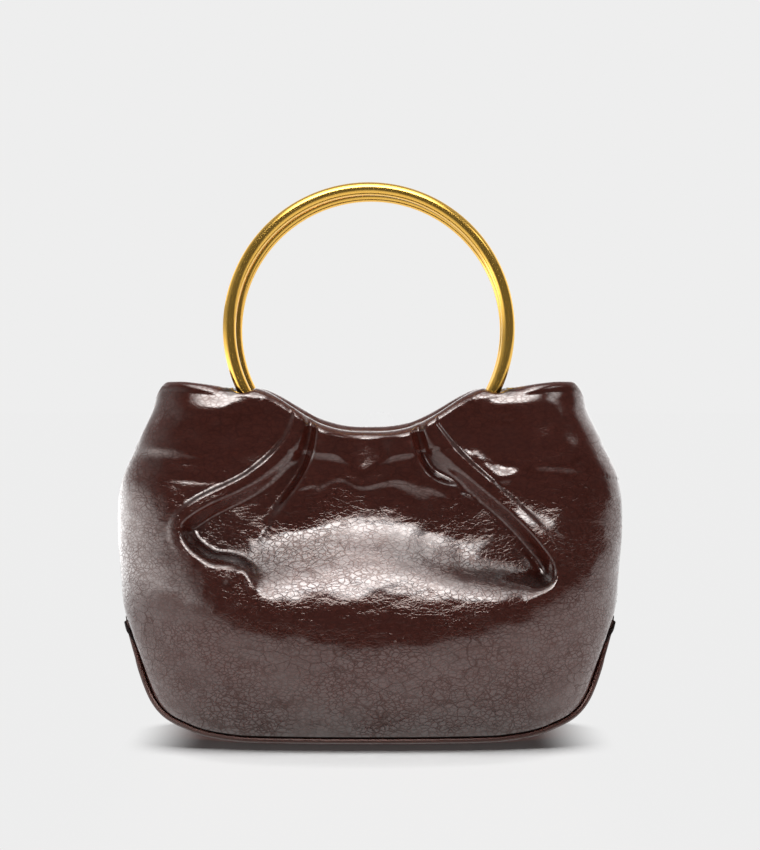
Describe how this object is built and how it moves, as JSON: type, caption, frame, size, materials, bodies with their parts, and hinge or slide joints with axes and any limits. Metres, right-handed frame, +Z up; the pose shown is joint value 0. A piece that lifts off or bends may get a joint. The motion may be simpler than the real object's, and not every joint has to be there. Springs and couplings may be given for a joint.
{
  "type": "handbag",
  "caption": "Small gathered handbag of glossy brown leather with a boat-shaped piped base and round gold ring handles held in its turned hem.",
  "frame": {"origin": "on the floor under the middle of the base", "axes": "+Z up, the front faces -Y, +X to the right as seen from the front"},
  "size_m": [0.2106, 0.086, 0.2274],
  "materials": {
    "brown_leather": "glossy crackled leather",
    "piping_leather": "glossy rolled leather",
    "gold_metal": "polished"
  },
  "bodies": {
    "bag": {"front_panel": "brown_leather", "back_panel": "brown_leather", "base_gusset": "brown_leather", "front_piping": "piping_leather", "back_piping": "piping_leather"},
    "front_ring_body": {"front_ring": "gold_metal"},
    "back_ring_body": {"back_ring": "gold_metal"}
  },
  "joints": [
    {"name": "front_ring_turn", "type": "hinge", "parent": "bag", "child": "front_ring_body", "pos_m": [-0.0004, -0.013, 0.1674], "axis": [0, 1, 0], "continuous": true},
    {"name": "back_ring_turn", "type": "hinge", "parent": "bag", "child": "back_ring_body", "pos_m": [0.0004, 0.013, 0.1674], "axis": [0, 1, 0], "continuous": true}
  ]
}
